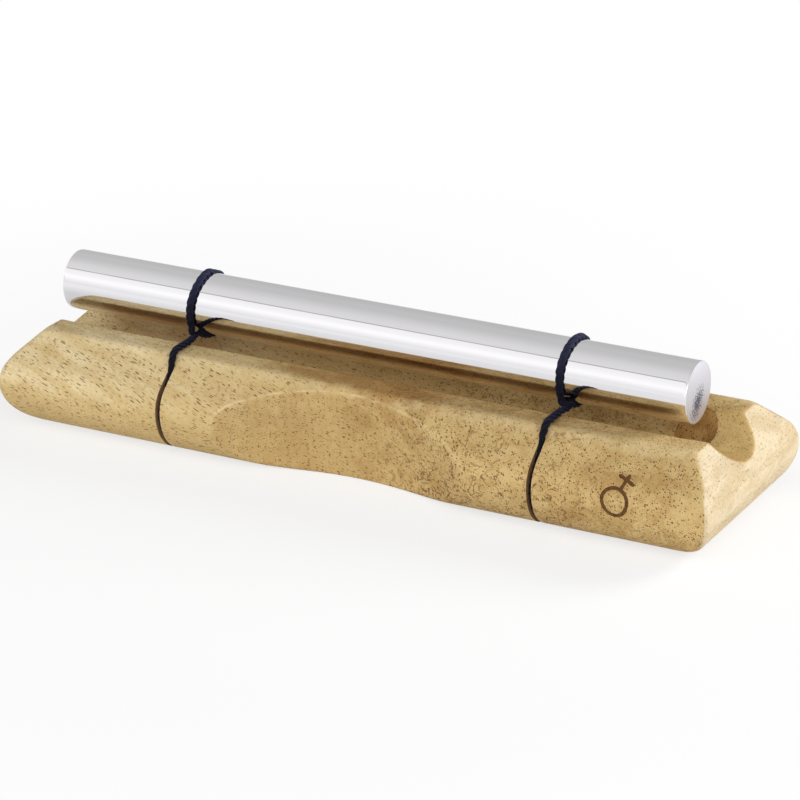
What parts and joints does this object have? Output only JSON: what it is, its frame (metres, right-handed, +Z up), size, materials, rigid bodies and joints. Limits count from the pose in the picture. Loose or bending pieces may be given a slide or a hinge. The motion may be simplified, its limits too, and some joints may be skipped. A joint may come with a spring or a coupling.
{
  "type": "chime bar",
  "caption": "Solid metal chime rod slung on knotted cords over the trough of a rolled hardwood base block with grip hollows in its long sides.",
  "frame": {"origin": "centre of the base's underside, on the surface that it stands on", "axes": "+X along the rod, towards the end of the base with the pocket; +Z up; the knots are on the -Y side"},
  "size_m": [0.252, 0.0756, 0.0544],
  "materials": {
    "wood": "fine sanded and lightly oiled pale hardwood with short dark pores",
    "rod_metal": "polished round the rod, satin on its cut ends",
    "cord": "laid navy-black cord"
  },
  "bodies": {
    "base": {"base": "wood", "left_kerf_cord": "cord", "left_front_span": "cord", "left_cradle_strand": "cord", "right_kerf_cord": "cord", "right_front_span": "cord", "right_cradle_strand": "cord"},
    "sling": {"left_rod_loop": "cord", "left_knot": "cord", "right_rod_loop": "cord", "right_knot": "cord"},
    "rod": {"chime_rod": "rod_metal"}
  },
  "joints": [
    {"name": "sling_bounce", "type": "slide", "parent": "base", "child": "sling", "axis": [0, 0, 1], "range_m": [-0.001, 0.001], "stiffness_N_per_m": 4000, "springref_m": 0.00047, "deforming": ["left_front_span", "left_cradle_strand", "right_front_span", "right_cradle_strand"]},
    {"name": "rod_roll", "type": "hinge", "parent": "sling", "child": "rod", "pos_m": [-0.0055, 0, 0.0415], "axis": [1, 0, 0], "continuous": true}
  ]
}
